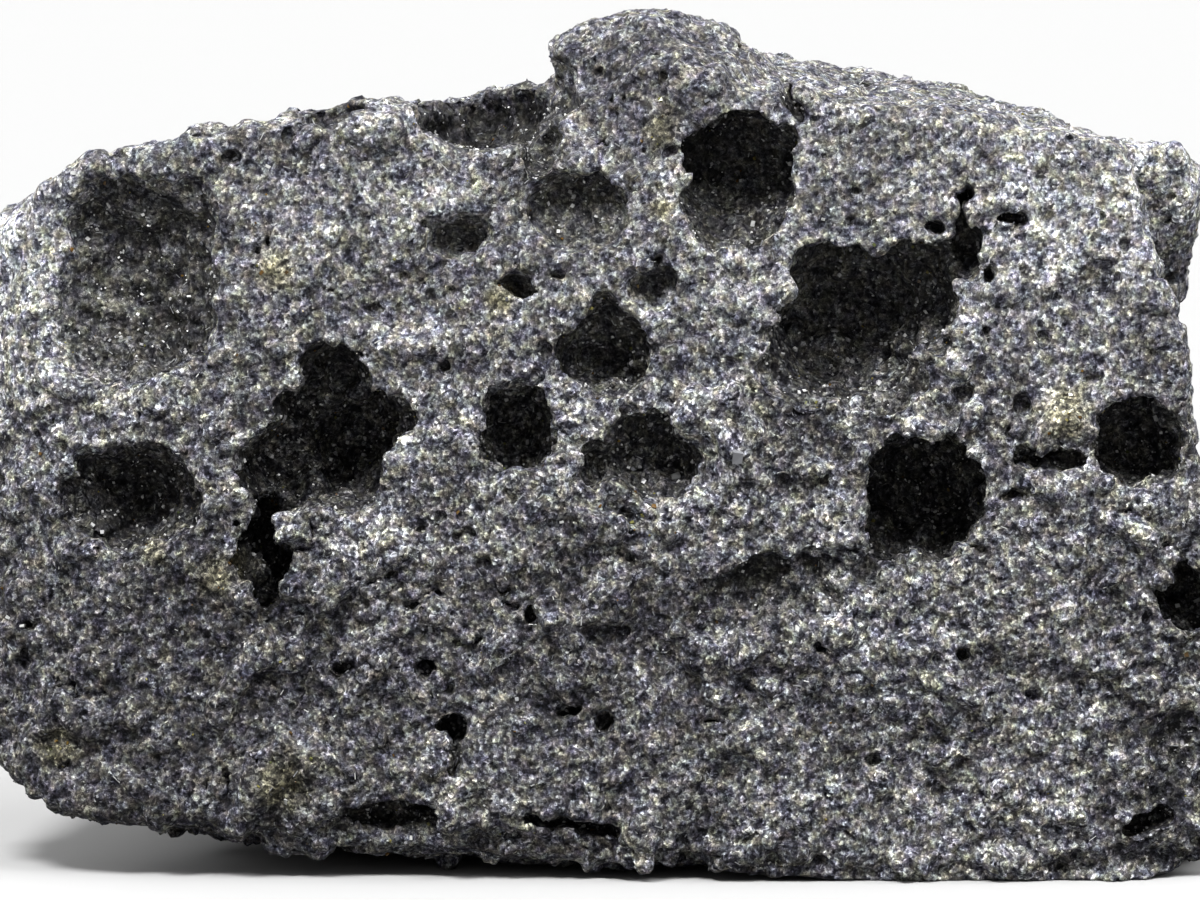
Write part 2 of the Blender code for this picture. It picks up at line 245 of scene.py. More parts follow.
TOP_BUBBLES = (
    ((-19.9, -25.2, 57.9), (2.7, 3.4, 1.1), 0, -10),
    ((-29.0, -24.0, 59.7), (5.4, 8.0, 3.2), 0, -6),
    ((-9.2, -20.4, 57.5), (5.2, 9.0, 3.5), 0, 0),
    ((-8.0, -23.0, 59.6), (6.2, 8.0, 4.2), 0, 0),
    ((-4.2, -24.0, 55.4), (1.8, 3.6, 2.2), 0, 30),
    ((-33.0, -2.0, 52.6), (4.6, 4.2, 3.8), 0, 0),
    ((-24.0, 12.0, 53.2), (3.0, 3.4, 2.6), 0, 0),
    ((2.0, 2.0, 59.6), (4.4, 4.7, 3.6), 0, 0),
    ((20.5, -8.0, 60.6), (3.2, 3.0, 2.6), 0, 0),
    ((29.0, 5.0, 57.8), (4.6, 4.0, 3.6), 0, 0),
    ((-6.0, 15.0, 56.2), (3.4, 3.0, 3.0), 0, 0),
)
# Ledges, where the break stepped from one plane to the next and left an overhang:
# given as flat bubbles, deep along the top edge and fading out below it.
LEDGES = (
    ((13.0, -28.4, 21.3), (9.4, 1.7, 3.9), -18, -16),
    ((19.6, -28.4, 22.2), (4.4, 1.8, 4.0), -18, -4),
    ((-15.4, -27.9, 21.0), (4.6, 1.5, 2.4), -25, -12),
    ((38.0, -28.5, 14.0), (4.2, 1.5, 2.2), -22, 12),
    ((43.6, -27.4, 8.6), (2.2, 1.3, 4.6), 0, 8),
)
# The foot of the front face, broken back under it in shallow steps.
UNDERCUTS = (
    ((-17.0, -28.2, 3.2), (6.4, 2.8, 2.0), 0, 0),
    ((-8.0, -28.6, 3.0), (5.4, 2.4, 1.6), 0, 4),
    ((-0.4, -28.8, 2.4), (5.6, 2.4, 1.5), 0, 4),
    ((6.4, -28.8, 1.4), (4.6, 2.4, 1.6), 0, 0),
    ((13.4, -28.8, 1.2), (5.2, 2.4, 1.4), 0, -4),
    ((21.0, -28.8, 0.6), (5.4, 2.2, 1.5), 0, 0),
    ((28.6, -28.8, 0.6), (5.0, 2.2, 1.2), 0, -3),
    ((35.4, -28.6, 0.8), (4.8, 2.2, 1.7), 0, 0),
    ((42.6, -28.2, 1.4), (4.8, 2.4, 2.2), 0, 0),
)
BACK_BUBBLES = (
    ((-30.0, 29.0, 30.0), (4.6, 4.6, 4.7), 0, 0),
    ((-12.0, 31.5, 40.0), (4.4, 5.0, 4.2), 0, 0),
    ((-17.0, 31.0, 17.0), (3.2, 4.0, 3.4), 0, 0),
    ((6.0, 31.5, 29.0), (6.8, 6.6, 6.2), 0, 0),
    ((14.0, 31.0, 44.0), (3.6, 4.4, 3.2), 0, 0),
    ((25.0, 30.5, 26.0), (4.6, 5.2, 5.0), 0, 0),
    ((33.0, 28.0, 40.0), (4.7, 5.0, 4.6), 0, 0),
    ((10.0, 31.5, 12.0), (3.4, 3.8, 3.0), 0, 0),
    ((-2.0, 29.0, 50.0), (2.6, 3.4, 2.4), 0, 0),
    ((36.0, 27.5, 14.0), (3.4, 4.4, 3.6), 0, 0),
    ((-34.0, 24.0, 14.0), (3.4, 4.0, 3.0), 0, 0),
)
SIDE_BUBBLES = (
    ((-48.5, -4.0, 33.0), (4.4, 5.6, 5.0), 0, 0),
    ((-46.0, 12.0, 40.0), (3.8, 3.6, 3.4), 0, 0),
    ((-46.5, 2.0, 16.0), (4.0, 4.2, 3.6), 0, 0),
    ((-46.0, 17.0, 24.0), (3.0, 3.4, 3.0), 0, 0),
    ((42.0, -10.0, 43.0), (3.4, 3.6, 3.8), 0, 0),
    ((47.5, -14.0, 14.0), (3.6, 4.4, 3.8), 0, 0),
    ((46.5, 4.0, 26.0), (4.6, 4.7, 4.7), 0, 0),
    ((49.0, 14.0, 48.0), (2.8, 3.4, 3.0), 0, 0),
    ((45.5, 17.0, 12.0), (3.6, 4.2, 3.4), 0, 0),
    ((-32.0, -2.0, 4.6), (4.6, 4.8, 3.0), 0, 0),
)
BUBBLES = FRONT_BUBBLES + TOP_BUBBLES + LEDGES + UNDERCUTS + BACK_BUBBLES + SIDE_BUBBLES
PRICKS = 3200  # pin-prick bubbles all over the break
PRICK_SIZES = (0.18, 0.62)  # mm: half sizes
PRICK_RARITY = 4.0  # how much rarer the wide ones are
PRICK_STRETCH = (0.55, 1.6)  # half sizes along the three axes, as a share of that
PRICK_DEPTH = 0.4  # how far a centre lies under the skin, as the same share
ANY_TURN = 6.0  # radians
TINY = 1e-6  # keeps divisions from nought
GAS = np.random.default_rng(7)


class Field:
    """Distances to the stone's surface in mm, negative inside, on a grid of samples."""

    def __init__(self, mesh):
        points = np.empty(len(mesh.vertices) * 3, np.float32)
        mesh.vertices.foreach_get("co", points)
        points = points.reshape(-1, 3) / MM
        quads = np.empty(len(mesh.loops), np.int32)
        mesh.loops.foreach_get("vertex_index", quads)
        grid = openvdb.FloatGrid.createLevelSetFromPolygons(
            points,
            quads=quads.reshape(-1, 4).astype(np.uint32),
            transform=openvdb.createLinearTransform(voxelSize=VOXEL),
            halfWidth=BAND,
        )
        self.low = np.floor(points.min(0) / VOXEL).astype(int) - MARGIN
        high = np.ceil(points.max(0) / VOXEL).astype(int) + MARGIN
        self.values = np.full(high - self.low, BAND * VOXEL, np.float32)
        grid.copyToArray(self.values, ijk=tuple(int(v) for v in self.low))

    def block(self, centre, reach):
        """Index ranges and sample points within reach of a centre."""
        first = np.floor((centre - reach) / VOXEL).astype(int) - self.low
        first = np.maximum(first, 0)
        last = np.ceil((centre + reach) / VOXEL).astype(int) - self.low
        last = np.minimum(last, self.values.shape)
        ranges = tuple(slice(a, b) for a, b in zip(first, last))
        axes = [(np.arange(a, b) + start) * VOXEL for a, b, start in zip(first, last, self.low)]
        return ranges, np.stack(np.meshgrid(*axes, indexing="ij"), -1)

    def at(self, points):
        """Distances at any points, between the samples."""
        place = points / VOXEL - self.low
        cell = np.clip(np.floor(place).astype(int), 0, np.array(self.values.shape) - 2)
        part = place - cell
        total = np.zeros(len(points))
        for corner in np.ndindex(2, 2, 2):
            weight = np.prod(np.where(corner, part, 1 - part), axis=1)
            total += weight * self.values[tuple((cell + corner).T)]
        return total

    def surface(self):
        """Corners, in mm, and four-sided faces of the surface."""
        shape = openvdb.FloatGrid(BAND * VOXEL)
        shape.copyFromArray(self.values, ijk=tuple(int(v) for v in self.low), tolerance=1e-6)
        shape.transform = openvdb.createLinearTransform(voxelSize=VOXEL)
        return shape.convertToQuads(0.0)


def soft_noise(points, spacing, draw):
    """Smooth random values, about -1 to 1, on a lattice of that spacing turned at random."""
    turn = Euler(draw.uniform(0, ANY_TURN, 3)).to_matrix()
    place = points @ np.array(turn) / spacing
    place -= place.min(0)
    cell = np.floor(place).astype(int)
    part = place - cell
    part = part * part * (3 - 2 * part)
    lattice = draw.uniform(-1, 1, cell.max(0) + 2)
    total = np.zeros(len(points))
    for corner in np.ndindex(2, 2, 2):
        weight = np.prod(np.where(corner, part, 1 - part), axis=-1)
        total += weight * lattice[tuple((cell + corner).T)]
    return total


def carve_bubble(field, centre, half_sizes, tilt_x=0, tilt_y=0):
    """Take one wandering ellipsoid out of the field."""
    centre = np.array(centre)
    sizes = np.array(half_sizes)
    mean = sizes.mean()
    reach = WANDER * mean
    about_x = Matrix.Rotation(math.radians(tilt_x), 3, "X")
    about_y = Matrix.Rotation(math.radians(tilt_y), 3, "Y")
    turn = np.array(about_y @ about_x)
    ranges, points = field.block(centre, np.linalg.norm(turn * sizes, axis=1) + 2 * reach)
    near = np.linalg.norm((points - centre) @ turn / (sizes + 2 * reach), axis=-1) < 1
    if not near.any():
        return
    points = points[near]
    offset = points - centre
    for axis in range(3):
        offset[:, axis] += reach * soft_noise(points, WANDER_SPACING * mean, GAS)
        fine = soft_noise(points, FINE_WANDER_SPACING * WANDER_SPACING * mean, GAS)
        offset[:, axis] += FINE_WANDER * reach * fine
    local = offset @ turn
    scaled = np.linalg.norm(local / sizes, axis=-1)
    steep = np.linalg.norm(local / sizes**2, axis=-1)
    distance = scaled * (scaled - 1) / np.maximum(steep, TINY)
    block = field.values[ranges]
    block[near] = np.maximum(block[near], -distance)


def vertex_array(mesh, what):
    values = np.empty(len(mesh.vertices) * 3, np.float32)
    mesh.vertices.foreach_get(what, values)
    return values.reshape(-1, 3).astype(float)


field = Field(lump_mesh)
fracture = copy.copy(field)
fracture.values = field.values.copy()
for bubble in BUBBLES:
    carve_bubble(field, *bubble)

skin_points = vertex_array(lump_mesh, "co") / MM
skin_normals = vertex_array(lump_mesh, "normal")
smallest, widest = PRICK_SIZES
for spot in GAS.choice(len(skin_points), PRICKS, replace=False):
    half = smallest + (widest - smallest) * GAS.random() ** PRICK_RARITY
    stretch = GAS.uniform(*PRICK_STRETCH, 3)
    centre = skin_points[spot] - skin_normals[spot] * half * PRICK_DEPTH
    carve_bubble(field, centre, half * stretch)

# worn flat where the stone rests
below = -(np.arange(field.values.shape[2]) + field.low[2]) * VOXEL
field.values = np.maximum(field.values, below[None, None, :].astype(np.float32))

points, quads = field.surface()
stone_mesh = bpy.data.meshes.new("basalt")
stone_mesh.from_pydata(points * MM, [], quads[:, ::-1])
stone = bpy.data.objects.new("basalt", stone_mesh)
bpy.context.scene.collection.objects.link(stone)

# ---------------------------------------------------------------------------
# The hackly break. Lava breaks between its grains, so the fracture faces are a crust
# of small lumps with dark gaps and pin-prick bubbles between them. The field's surface
# is pushed in and out by that much, then thinned where it is seen least.
SWELLS = ((6.5, 0.40), (2.9, 0.24))  # mm: spacing and height of its smooth waves
LUMPS = ((1.35, 0.15), (0.72, 0.12), (0.42, 0.09))  # the same for lumps with sharp gaps between
LUMP_MIDDLE = 0.55  # their mean height, so that they don't swell the stone
HOLLOWS = ((2.6, 0.75), (1.3, 0.45))  # the same for ragged hollows where grains fell out
HOLLOW_EDGE = (0.22, 0.62)  # the noise's values from a hollow's rim to its floor
WORN_HEIGHTS = (32.0, 46.0)  # mm: the break is fresh below these and worn above
WEAR = 0.35  # share of its roughness lost there
RESTING = 1.2  # mm above the rest face before the break has its full height
TRIANGLES = 780000  # of the whole skin
FRONT_REACH = (-14.0, -23.0)  # mm: the finer mesh fades in between these depths
THINNING_LEVELS = 10  # steps of that fade
BREAK = np.random.default_rng(11)


def smooth_step(low, high, value):
    part = np.clip((value - low) / (high - low), 0, 1)
    return part * part * (3 - 2 * part)


def freshness(points):
    """How fresh the break is: 1 low down, less where the stone is worn."""
    return 1 - WEAR * smooth_step(*WORN_HEIGHTS, points[:, 2])


def break_height(points):
    """Height of the break above the smooth surface, in mm, at each point."""
    height = np.zeros(len(points))
    for spacing, amount in SWELLS:
        height += amount * soft_noise(points, spacing, BREAK)
    for spacing, amount in LUMPS:
        height += amount * (2 * np.abs(soft_noise(points, spacing, BREAK)) - LUMP_MIDDLE)
    for spacing, amount in HOLLOWS:
        height -= amount * smooth_step(*HOLLOW_EDGE, soft_noise(points, spacing, BREAK))
    return height * freshness(points)


normals = vertex_array(stone_mesh, "normal")
clear_of_rest = smooth_step(0.0, RESTING, points[:, 2])
points = points + normals * (break_height(points) * clear_of_rest)[:, None]
points[:, 2] = np.maximum(points[:, 2], 0.0)
stone_mesh.vertices.foreach_set("co", (points * MM).astype(np.float32).ravel())
stone_mesh.update()

thinned = stone.vertex_groups.new(name="thinned more")
away_from_front = smooth_step(FRONT_REACH[1], FRONT_REACH[0], points[:, 1])
levels = np.round(away_from_front * THINNING_LEVELS).astype(int)
for level in range(1, THINNING_LEVELS + 1):
    thinned.add(np.nonzero(levels == level)[0].tolist(), level / THINNING_LEVELS, "REPLACE")
thin = stone.modifiers.new("thinned", "DECIMATE")
thin.ratio = TRIANGLES / (2 * len(stone_mesh.polygons))
thin.vertex_group = thinned.name
thin.vertex_group_factor = 1.0
whole = applied_mesh(stone)
bpy.data.objects.remove(stone)

# ---------------------------------------------------------------------------
# The groundmass. Raw broken basalt: plagioclase, pyroxene and iron oxide grains of under
# half a millimetre, with pores between them. It is matt, salt-and-pepper grey and darker on the
# bubbles' walls. Its tone also holds painted shade in pits, crevices, corners, deep bubbles and
# towards the bottom, and painted light on edges that are also rubbed, and in patches.
GRAIN = 3.4 / MM  # 3.4 grains to a millimetre, each 0.3 mm wide
SPECK = 3.6 / MM  # specks of 0.28 mm, within and across the grains
PATCH = 0.7 / MM  # patches of 1.4 mm
CLOUD = 0.26 / MM  # clouds of 4 mm
PORE = 1.1 / MM  # pores 0.9 mm apart
HUE = 1.1 / MM  # shifts of hue of 0.9 mm
RELIEF = 1.1 / MM  # swellings of 0.9 mm under the grains
GRAIN_CONTRAST = 2.2  # contrasts are powers of the tone, and 0.7 halves or doubles it
SPECK_CONTRAST = 9.0
PATCH_CONTRAST = 3.0
CLOUD_CONTRAST = 2.0
PORE_DARKNESS = 1.5
PORE_RANGE = (0.38, 0.46)  # the noise's values from a pore's floor to its rim
EVENING = 0.45  # how far wear evens out the tones
# painted shade in the crevices between the lumps
CREVICE_SHADE_DARKNESS = 0.6
GRAIN_WANDER = 0.45 * MM  # how far specks bend the grains' outlines
GRAIN_TILT = 0.7  # how far each grain's face leans from the surface
GRAIN_ROUGHNESS = (0.25, 0.9)  # from fresh cleavage faces to matt oxide
RELIEF_HEIGHT = 0.2 * MM
HUE_SPREAD = 0.4  # share by which red, green and blue each stray
WARM_RANGE = (0.35, 0.65)  # the noise's values from the cool tint to the warm one
COOL_TINT = "#f1ebfe"  # plagioclase and pyroxene lean to blue and violet
WARM_TINT = "#fefde3"  # weathered grains lean to straw
ROCK_DARK = "#696870"  # before its tone: dark grains lean to violet, pale ones are neutral
ROCK_PALE = "#66686a"
DARK_TO_PALE = (-1.8, 0.8)  # powers of the tone that each of the two stands for
LINING = "#252421"  # brownish black glass and iron oxide, chilled on the bubbles' walls
STAIN = "#7d785a"  # olive, from iron that rotted olivine has let go
STAIN_STRENGTH = 0.55
BASALT_IOR = 1.52
BASALT_SPECULAR = 0.12  # low, because the grains are too rough to shine together

LINING_DEPTHS = ((0.85, 0.3, 2.0), (0.15, 3.0, 6.0))  # its shares, and the mm where each comes in
CREVICE_SHADE_DEPTHS = (-0.05, 0.45)  # mm below the smooth surface, where the crevices get painted shade
FOOT_HEIGHTS = (24.0, 36.0)  # mm: the lower part is painted darker, a painted shade towards the bottom
FOOT_PAINTED_SHADE = 0.22  # painted shade is a power of the tone too
DEEP_DEPTHS = (3.0, 6.5)  # mm: the floors of the deep bubbles, which get painted shade
# painted shade on the deep bubbles' floors
DEEP_PAINTED_SHADE = 0.7
EDGE_REACH = 1.3  # mm from an edge that is painted paler, for wear and a painted highlight, and from a corner that gets painted shade
EDGE_SOFTNESS = (0.1, 0.9)  # mm
# paler edges: partly rubbed wear, partly a painted highlight
EDGE_PALENESS = 0.25
# painted shade in corners
CORNER_PAINTED_SHADE = 0.45
SLOPE_STEP = 0.4  # mm: how far apart the field is read to find its slope
PAINTED_LIGHT_AND_SHADE_PATCHES = (  # patches of painted shade, and of painted light where the power is below nought: place, radius in mm and power
    (-34.0, -27.0, 13.0, 27.0, 0.66),
    (2.0, -28.0, 16.0, 20.0, 0.34),
    (-6.0, -28.0, 27.0, 12.0, -0.08),
    (5.0, -25.0, 60.0, 9.0, 0.52),
    (36.0, -27.0, 50.0, 12.0, -0.5),
    (40.6, -27.5, 51.0, 4.0, -0.25),
    (41.5, -28.0, 41.0, 5.0, 0.4),
    (-46.0, -20.0, 44.0, 13.0, -0.8),
    (-9.0, -15.0, 57.5, 9.0, 1.1),
    (-20.0, -22.0, 58.5, 4.0, 0.9),
    (47.0, 5.0, 54.0, 9.0, -0.55),
    (30.0, -28.0, 2.0, 16.0, -0.3),
    (45.0, -27.0, 5.0, 9.0, -0.25),
    (46.0, 5.0, 44.0, 8.0, 0.5),
)
PAINTED_PATCH_FADE = (0.3, 1.0)  # shares of the radius over which a patch fades out
STAINS = (  # on the front face: across, up and radius in mm
    (-24.4, 46.4, 2.2),
    (34.9, 35.7, 2.6),
    (-7.5, 44.1, 1.6),
    (-28.9, 23.2, 2.2),
    (-41.2, 10.0, 2.4),
    (-24.0, 7.5, 3.0),
    (4.5, 56.8, 1.8),
    (4.6, 51.0, 1.2),
    (-33.6, 25.0, 1.2),
)
STAIN_FADE = (0.2, 1.1)  # the same for a stain
FRONT = -14.0  # mm: what lies before this belongs to the front face


def colour(hex_code):
    """sRGB hex to the linear colour that a shader socket takes."""
    channels = [int(hex_code[i:i + 2], 16) / 255 for i in (1, 3, 5)]
    return (*(c / 12.92 if c <= 0.04045 else ((c + 0.055) / 1.055) ** 2.4 for c in channels), 1.0)


def add(tree, kind, settings=None, links=None):
    """Add a node with its values and inputs set and its inputs linked."""
    node = tree.nodes.new(kind)
    for key, value in (settings or {}).items():
        if isinstance(key, int) or key in node.inputs:
            node.inputs[key].default_value = value
        else:
            setattr(node, key, value)
    for key, source in (links or {}).items():
        tree.links.new(source, node.inputs[key])
    return node


def basalt():
    """Broken grains, each with a tone, shine and tilt of its own: it glitters but never shines."""
    material = bpy.data.materials.new("basalt groundmass")
    material.use_nodes = True
    tree = material.node_tree
    tree.nodes.clear()
    painted = {}
    # the lining, stains and freshness are the stone's own; the other two carry painted shade and
    # light, with some wear
    for label in ("lining", "crevice_shade", "stain", "painted_shade_light_and_wear", "fresh"):
        mark = add(tree, "ShaderNodeAttribute", {"attribute_name": label})
        painted[label] = mark.outputs["Fac"]
    place = add(tree, "ShaderNodeTexCoord").outputs["Object"]
    patches = add(tree, "ShaderNodeTexNoise", {"Scale": PATCH, "Detail": 3.0, "Roughness": 0.6},
                  {"Vector": place})
    clouds = add(tree, "ShaderNodeTexNoise", {"Scale": CLOUD, "Detail": 2.0}, {"Vector": place})
    pores = add(tree, "ShaderNodeTexNoise", {"Scale": PORE, "Detail": 5.0, "Roughness": 0.7},
                {"Vector": place})
    specks = add(tree, "ShaderNodeTexNoise",
                 {"Scale": SPECK, "Detail": 4.0, "Roughness": 0.75, "Distortion": 0.4},
                 {"Vector": place})
    # grains with broken outlines, each with a tone, a shine and a tilt of its own
    wander = add(tree, "ShaderNodeVectorMath", {"operation": "SUBTRACT", 1: (0.5, 0.5, 0.5)},
                 {0: specks.outputs["Color"]})
    bent = add(tree, "ShaderNodeVectorMath", {"operation": "MULTIPLY_ADD", 1: (GRAIN_WANDER,) * 3},
               {0: wander.outputs[0], 2: place})
    grains = add(tree, "ShaderNodeTexVoronoi", {"Scale": GRAIN}, {"Vector": bent.outputs[0]})
    grain = add(tree, "ShaderNodeSeparateColor", {}, {0: grains.outputs["Color"]})

    # tones multiply, so they are added up as powers
    pore = add(tree, "ShaderNodeMapRange",
               {"From Min": PORE_RANGE[0], "From Max": PORE_RANGE[1], "To Min": 1.0, "To Max": 0.0},
               {"Value": pores.outputs[0]})
    middle = -0.5 * (GRAIN_CONTRAST + CLOUD_CONTRAST + PATCH_CONTRAST + SPECK_CONTRAST)
    power = add(tree, "ShaderNodeMath", {"operation": "MULTIPLY_ADD", 1: GRAIN_CONTRAST, 2: middle},
                {0: grain.outputs[0]})
    layers = ((clouds, CLOUD_CONTRAST), (patches, PATCH_CONTRAST), (specks, SPECK_CONTRAST),
              (pore, -PORE_DARKNESS))
    for layer, contrast in layers:
        power = add(tree, "ShaderNodeMath", {"operation": "MULTIPLY_ADD", 1: contrast},
                    {0: layer.outputs[0], 2: power.outputs[0]})
    evened = add(tree, "ShaderNodeMath", {"operation": "MULTIPLY_ADD", 1: EVENING, 2: 1.0 - EVENING},
                 {0: painted["fresh"]})
    power = add(tree, "ShaderNodeMath", {"operation": "MULTIPLY"},
                {0: power.outputs[0], 1: evened.outputs[0]})
    # darker by the painted shade in crevices, and by the painted shade and light with the edges'
    # wear
    for label, darkness in (("crevice_shade", CREVICE_SHADE_DARKNESS), ("painted_shade_light_and_wear", 1.0)):
        power = add(tree, "ShaderNodeMath", {"operation": "MULTIPLY_ADD", 1: -darkness},
                    {0: painted[label], 2: power.outputs[0]})
    tone = add(tree, "ShaderNodeMath", {"operation": "EXPONENT"}, {0: power.outputs[0]})

    # its minerals give it their hues, under the lining and the stains
    hues = add(tree, "ShaderNodeTexNoise", {"Scale": HUE, "Detail": 3.0}, {"Vector": place})
    hue = add(tree, "ShaderNodeVectorMath",
              {"operation": "MULTIPLY_ADD", 1: (HUE_SPREAD,) * 3, 2: (1 - HUE_SPREAD / 2,) * 3},
              {0: hues.outputs["Color"]})
    warmth = add(tree, "ShaderNodeMapRange", {"From Min": WARM_RANGE[0], "From Max": WARM_RANGE[1]},
                 {"Value": hues.outputs[0]})
    tint = add(tree, "ShaderNodeMix",
               {"data_type": "RGBA", 6: colour(COOL_TINT), 7: colour(WARM_TINT)},
               {0: warmth.outputs[0]})
    paleness = add(tree, "ShaderNodeMapRange",
                   {"From Min": DARK_TO_PALE[0], "From Max": DARK_TO_PALE[1]},
                   {"Value": power.outputs[0]})
    mineral = add(tree, "ShaderNodeMix",
                  {"data_type": "RGBA", 6: colour(ROCK_DARK), 7: colour(ROCK_PALE)},
                  {0: paleness.outputs[0]})
    tinted = add(tree, "ShaderNodeMix", {"data_type": "RGBA", "blend_type": "MULTIPLY", 0: 1.0},
                 {6: mineral.outputs[2], 7: tint.outputs[2]})
    rock = add(tree, "ShaderNodeMix", {"data_type": "RGBA", "blend_type": "MULTIPLY", 0: 1.0},
               {6: tinted.outputs[2], 7: hue.outputs[0]})
    glaze = add(tree, "ShaderNodeMix", {"data_type": "RGBA", 7: colour(LINING)},
                {0: painted["lining"], 6: rock.outputs[2]})
    stained = add(tree, "ShaderNodeMath", {"operation": "MULTIPLY", 1: STAIN_STRENGTH},
                  {0: painted["stain"]})
    rusty = add(tree, "ShaderNodeMix", {"data_type": "RGBA", 7: colour(STAIN)},
                {0: stained.outputs[0], 6: glaze.outputs[2]})
    coloured = add(tree, "ShaderNodeVectorMath", {"operation": "MULTIPLY"},
                   {0: rusty.outputs[2], 1: tone.outputs[0]})

    # each grain's face is tilted, and the finest relief lies under them
    tilt = add(tree, "ShaderNodeVectorMath", {"operation": "SUBTRACT", 1: (0.5, 0.5, 0.5)},
               {0: grains.outputs["Color"]})
    normal = add(tree, "ShaderNodeNewGeometry").outputs["Normal"]
    tilted = add(tree, "ShaderNodeVectorMath", {"operation": "MULTIPLY_ADD", 1: (GRAIN_TILT,) * 3},
                 {0: tilt.outputs[0], 2: normal})
    upright = add(tree, "ShaderNodeVectorMath", {"operation": "NORMALIZE"}, {0: tilted.outputs[0]})
    relief = add(tree, "ShaderNodeTexNoise", {"Scale": RELIEF, "Detail": 1.0}, {"Vector": place})
    bump = add(tree, "ShaderNodeBump", {"Strength": 1.0, "Distance": RELIEF_HEIGHT},
               {"Height": relief.outputs[0], "Normal": upright.outputs[0]})
    shine = add(tree, "ShaderNodeMapRange",
                {"To Min": GRAIN_ROUGHNESS[0], "To Max": GRAIN_ROUGHNESS[1]},
                {"Value": grain.outputs[1]})
    shader = add(tree, "ShaderNodeBsdfPrincipled",
                 {"IOR": BASALT_IOR, "Specular IOR Level": BASALT_SPECULAR},
                 {"Base Color": coloured.outputs[0], "Roughness": shine.outputs[0],
                  "Normal": bump.outputs[0]})
    add(tree, "ShaderNodeOutputMaterial", {}, {"Surface": shader.outputs[0]})
    return material


whole.calc_loop_triangles()
triangles = np.empty(len(whole.loop_triangles) * 3, np.int32)
whole.loop_triangles.foreach_get("vertices", triangles)
triangles = triangles.reshape(-1, 3)
points = vertex_array(whole, "co") / MM
normals = vertex_array(whole, "normal")
middles = points[triangles].mean(1)

# each point's lining, stain, wear and painted shade and light, from its depth under the fracture and
# under the smooth surface
depth = np.clip(-fracture.at(points), 0, None)
lining = np.zeros(len(points))
for share, first, full in LINING_DEPTHS:
    lining += share * smooth_step(first, full, depth)
# painted shade in the crevices, below the smooth surface
crevice_shade = smooth_step(*CREVICE_SHADE_DEPTHS, -field.at(points))
fresh = freshness(points)
# painted shade, darker towards the bottom, then the patches of painted shade and light
painted_shade_light_and_wear = FOOT_PAINTED_SHADE * (1 - smooth_step(*FOOT_HEIGHTS, points[:, 2]))
# patches of painted shade, and of painted light below nought
for *place, radius, amount in PAINTED_LIGHT_AND_SHADE_PATCHES:
    away = np.linalg.norm(points - place, axis=1) / radius
    painted_shade_light_and_wear += amount * (1 - smooth_step(*PAINTED_PATCH_FADE, away))
shifts = np.eye(3) * SLOPE_STEP
slope = np.stack([field.at(points + shift) - field.at(points - shift) for shift in shifts], 1)
slope /= np.linalg.norm(slope, axis=1, keepdims=True) + TINY
# edges painted paler, partly wear and partly a painted highlight; corners and deep floors get
# painted shade
rubbed_and_lit = smooth_step(*EDGE_SOFTNESS, EDGE_REACH + field.at(points - slope * EDGE_REACH))
hollow = smooth_step(*EDGE_SOFTNESS, EDGE_REACH - field.at(points + slope * EDGE_REACH))
deep = smooth_step(*DEEP_DEPTHS, depth)
painted_shade_light_and_wear += CORNER_PAINTED_SHADE * hollow - EDGE_PALENESS * rubbed_and_lit + DEEP_PAINTED_SHADE * deep
stain = np.zeros(len(points))
for x, z, radius in STAINS:
    away = np.hypot(points[:, 0] - x, points[:, 2] - z) / radius
    spot = np.where(points[:, 1] < FRONT, 1 - smooth_step(*STAIN_FADE, away), 0)
    stain = np.maximum(stain, spot)
finishes_and_painted_light = {"lining": lining, "crevice_shade": crevice_shade, "stain": stain, "painted_shade_light_and_wear": painted_shade_light_and_wear, "fresh": fresh}


def stone_part(name, chosen):
    """One part of the stone's skin, made of the triangles chosen."""
    used, local = np.unique(triangles[chosen], return_inverse=True)
    mesh = bpy.data.meshes.new(name)
    mesh.from_pydata((points[used] - FOOTPRINT_CENTRE) * MM, [], local.reshape(-1, 3))
    for label, values in finishes_and_painted_light.items():
        layer = mesh.attributes.new(label, "FLOAT", "POINT")
        layer.data.foreach_set("value", values[used].astype(np.float32))
    mesh.shade_smooth()
    mesh.normals_split_custom_set_from_vertices(normals[used])
    mesh.materials.append(groundmass)
    thing = bpy.data.objects.new(name, mesh)
    bpy.context.scene.collection.objects.link(thing)
    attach(thing, "root")
    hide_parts("basalt_stone")


groundmass = basalt()
# the skin is split in four, so that no mesh is too large
behind = middles[:, 1] > np.median(middles[:, 1])
for side, on_side in (("front", ~behind), ("back", behind)):
    level = np.median(middles[on_side, 2])
    above = middles[:, 2] > level
    stone_part(f"basalt_{side}_upper", on_side & above)
    stone_part(f"basalt_{side}_lower", on_side & ~above)

# ---------------------------------------------------------------------------
# The crystals. Pale feldspar laths and blocks, and amber to green olivine grains, stand
# in the break and on the bubble walls: thousands of tiny prisms, half sunk in the stone,
# each with corners of its own and a tone of its own.
LATHS = 3500
LATH_LENGTH = (0.25, 0.70)  # mm
LATH_WIDTH = (0.04, 0.08)
BLOCKS = 1300
BLOCK_SIZE = (0.14, 0.42)
BLOCK_SHAPES = ((0.8, 0.5, 0.4), (1.3, 0.8, 0.6))  # length, width and depth, as shares of that
OLIVINES = 700
OLIVINE_SIZE = (0.09, 0.24)
OLIVINE_SHAPES = (0.6, 1.2)
OLIVINES_ANYWHERE = 0.4  # how often they stand on the break, on a wall and in a stain
OLIVINES_ON_WALLS = 2.0
OLIVINES_IN_STAINS = 10.0
GLINTS = 4200  # cleavage faces that catch the light on the bubble walls
GLINT_SIZE = (0.09, 0.27)
GLINT_SHAPES = (0.5, 1.3)
LINING_SHARE = 1.8  # how much more often crystals stand on a bubble wall
